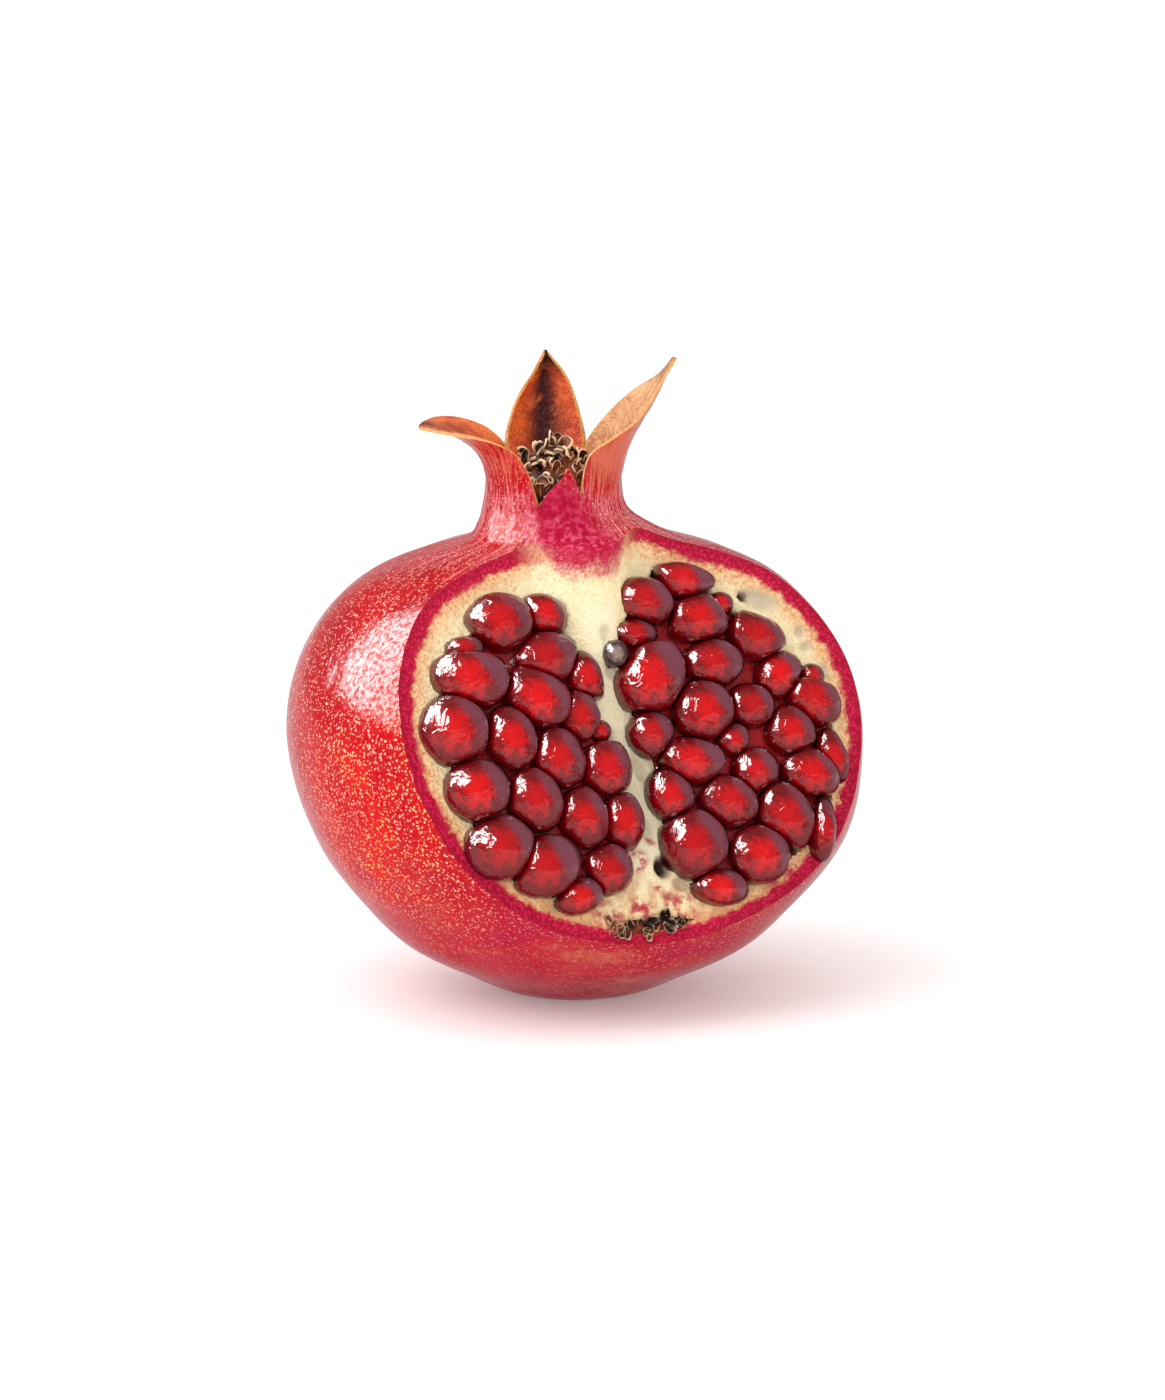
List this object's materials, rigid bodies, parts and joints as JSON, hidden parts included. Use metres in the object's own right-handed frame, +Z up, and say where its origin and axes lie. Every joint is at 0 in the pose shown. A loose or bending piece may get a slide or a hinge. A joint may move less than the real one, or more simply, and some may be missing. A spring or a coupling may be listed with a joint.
{
  "type": "sliced pomegranate",
  "caption": "Ripe pomegranate standing on its base, calyx crown up, sliced open to show pith and chambers of juicy arils.",
  "frame": {"origin": "centre of the small flat spot that the fruit rests on", "axes": "+Z up along the fruit's axis to the calyx crown; -Y is the front, and the slice faces between -Y and +X, tilted up"},
  "size_m": [0.0898, 0.0854, 0.0996],
  "materials": {
    "rind": "leathery red skin with a soft gloss and fine pale speckles, browner and drier on the sepals",
    "pith": "matt, moist, fibrous cream",
    "aril": "wet, glossy, translucent garnet red",
    "stamen": "dry, papery brown",
    "scar": "dry, corky dark brown"
  },
  "bodies": {
    "root": {"rind": "rind", "calyx": "rind", "pith": "pith", "arils_left": "aril", "arils_right": "aril", "stamens": "stamen", "stem_scar": "scar"}
  },
  "joints": []
}
